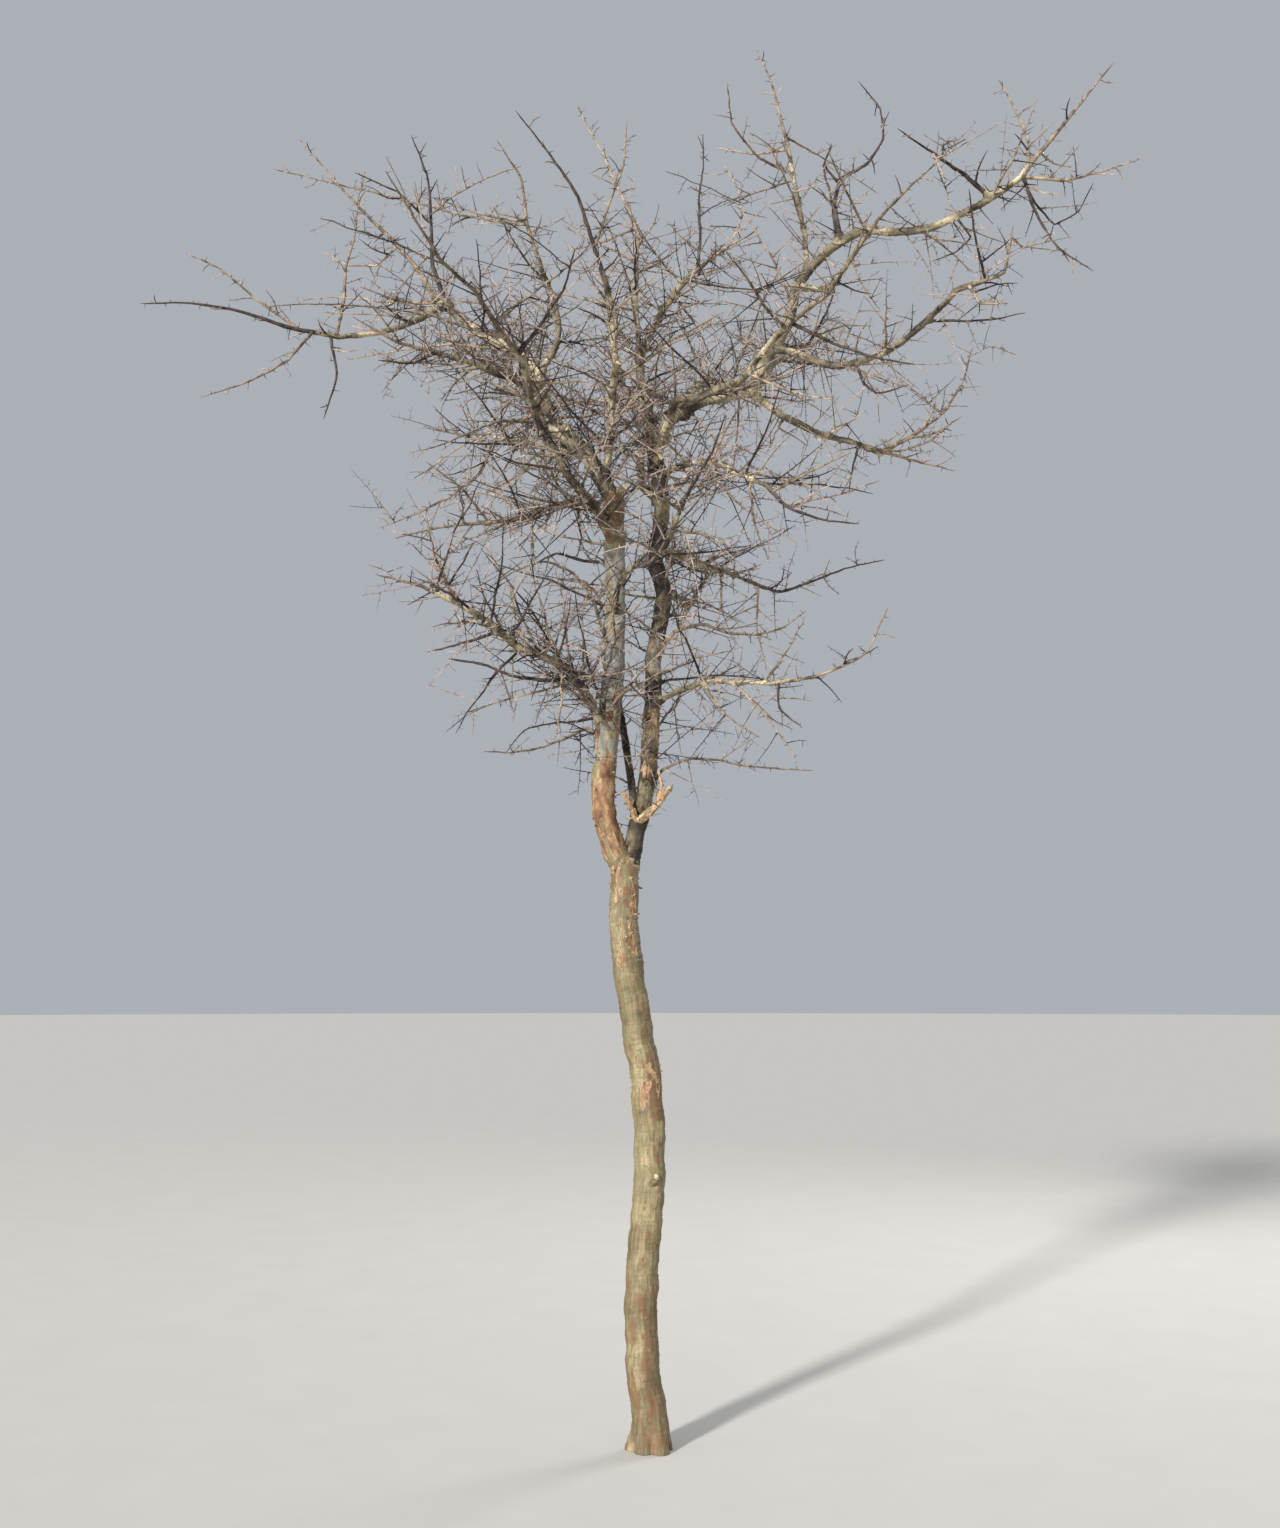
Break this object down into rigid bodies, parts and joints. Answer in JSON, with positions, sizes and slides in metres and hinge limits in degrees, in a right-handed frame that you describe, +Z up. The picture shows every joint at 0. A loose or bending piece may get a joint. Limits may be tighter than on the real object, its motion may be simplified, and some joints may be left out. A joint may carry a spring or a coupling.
{
  "type": "bare corkwood tree",
  "caption": "Whole bare, spiny corkwood tree: slender trunk forking into stems, crooked boughs and masses of thorny leafless twigs.",
  "frame": {"origin": "middle of the flat cut under the trunk, at ground level", "axes": "+Z straight up, +X to the right and +Y away from the side the tree is seen from in the picture"},
  "size_m": [3.5911, 3.0618, 5.0807],
  "materials": {
    "pale_bark": "rough, flaking pale khaki bark with rust-orange patches",
    "dark_bark": "rough, mottled darker bark",
    "bough_bark": "matt grey-khaki bark with fine cracks",
    "twig_wood": "matt purplish grey-brown young wood"
  },
  "bodies": {
    "root": {"trunk": "pale_bark", "stem_left": "pale_bark", "stem_right": "dark_bark", "bough_left_inner": "bough_bark", "bough_left_outer": "bough_bark", "bough_left_long": "bough_bark", "bough_left_second": "bough_bark", "bough_left_level": "bough_bark", "bough_left_low": "bough_bark", "bough_left_mid": "bough_bark", "bough_right_inner": "bough_bark", "bough_right_rise": "bough_bark", "bough_right_crest": "bough_bark", "bough_right_outer": "bough_bark", "bough_right_fork": "bough_bark", "bough_right_upper_mid": "bough_bark", "bough_right_lower_mid": "bough_bark", "bough_centre": "bough_bark", "bough_crown_left": "bough_bark", "bough_crown_mid": "bough_bark", "bough_crown_far_left": "bough_bark", "bough_crown_right": "bough_bark", "bough_right_low": "bough_bark", "bough_right_lower": "bough_bark", "bough_right_lowest": "bough_bark", "bough_front_left": "bough_bark", "bough_front_right": "bough_bark", "bough_front_low": "bough_bark", "bough_back_left": "bough_bark", "bough_back_right": "bough_bark", "bough_back_mid": "bough_bark", "bough_back_low": "bough_bark", "twigs_left_far": "twig_wood", "twigs_left_top": "twig_wood", "twigs_left_upright": "twig_wood", "twigs_crown_far_left": "twig_wood", "twigs_crown_left": "twig_wood", "twigs_crown_mid": "twig_wood", "twigs_centre": "twig_wood", "twigs_crown_right": "twig_wood", "twigs_crest": "twig_wood", "twigs_right_far": "twig_wood", "twigs_right_over": "twig_wood", "twigs_right_fork": "twig_wood", "twigs_right_upper_mid": "twig_wood", "twigs_right_lower_mid": "twig_wood", "twigs_right_low": "twig_wood", "twigs_right_lower": "twig_wood", "twigs_right_lowest": "twig_wood", "twigs_left_second": "twig_wood", "twigs_left_level": "twig_wood", "twigs_left_low": "twig_wood", "twigs_left_mid": "twig_wood", "twigs_front_left": "twig_wood", "twigs_front_right": "twig_wood", "twigs_front_low": "twig_wood", "twigs_back_left": "twig_wood", "twigs_back_right": "twig_wood", "twigs_back_mid": "twig_wood", "twigs_back_low": "twig_wood"}
  },
  "joints": []
}
